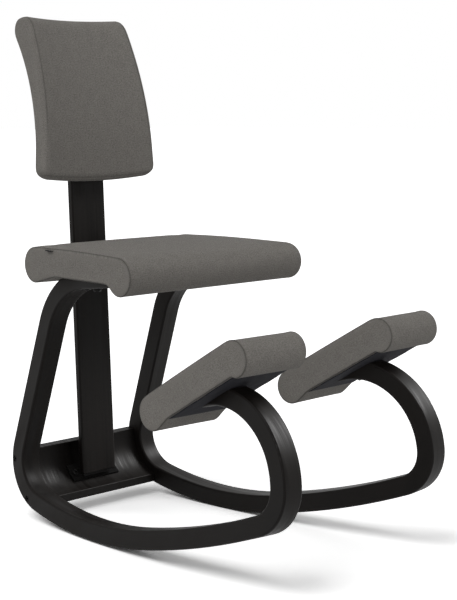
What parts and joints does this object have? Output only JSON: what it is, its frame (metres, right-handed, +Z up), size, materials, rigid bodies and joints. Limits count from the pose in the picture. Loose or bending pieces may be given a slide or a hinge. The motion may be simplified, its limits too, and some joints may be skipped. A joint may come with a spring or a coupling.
{
  "type": "rocking kneeling chair",
  "caption": "Kneeling office chair on bent wooden rocking runners, with an upholstered seat, sloping knee pads and a curved back pad on an upright slat.",
  "frame": {"origin": "on the floor, under the middle of the chair's outline seen from above", "axes": "+Z up, the sitter faces -Y and has +X at the left hand"},
  "size_m": [0.4638, 0.7462, 0.8935],
  "materials": {
    "stained_wood": "black stain, satin lacquer",
    "plywood": "raw birch plywood",
    "grey_fabric": "fine plain weave over foam",
    "dust_cloth": "thin felted cloth",
    "tag_cloth": "woven ribbon, plain",
    "black_steel": "black oxide, semi-matt",
    "zinc_steel": "zinc plated"
  },
  "bodies": {
    "root": {"runner_left": "stained_wood", "runner_right": "stained_wood", "cross_panel": "stained_wood", "panel_bolts": "black_steel", "panel_insert_nuts": "zinc_steel", "back_post": "stained_wood", "post_foot_bracket": "black_steel", "foot_bracket_screws": "black_steel", "post_foot_bolts": "black_steel", "post_insert_nuts": "zinc_steel", "seat_plate": "plywood", "seat_dust_cover": "dust_cloth", "seat_cushion": "grey_fabric", "seat_seam_tag": "tag_cloth", "seat_bolts": "black_steel", "seat_bolt_washers": "black_steel", "seat_tee_nuts": "zinc_steel", "knee_pad_plate_left": "plywood", "knee_pad_plate_right": "plywood", "knee_pad_dust_cover_left": "dust_cloth", "knee_pad_dust_cover_right": "dust_cloth", "knee_pad_cushion_left": "grey_fabric", "knee_pad_cushion_right": "grey_fabric", "knee_pad_bolts": "black_steel", "knee_pad_bolt_washers": "black_steel", "knee_pad_tee_nuts": "zinc_steel", "back_shell": "plywood", "back_cushion": "grey_fabric", "back_bolts": "black_steel", "back_bolt_washers": "black_steel", "back_tee_nuts": "zinc_steel"}
  },
  "joints": []
}
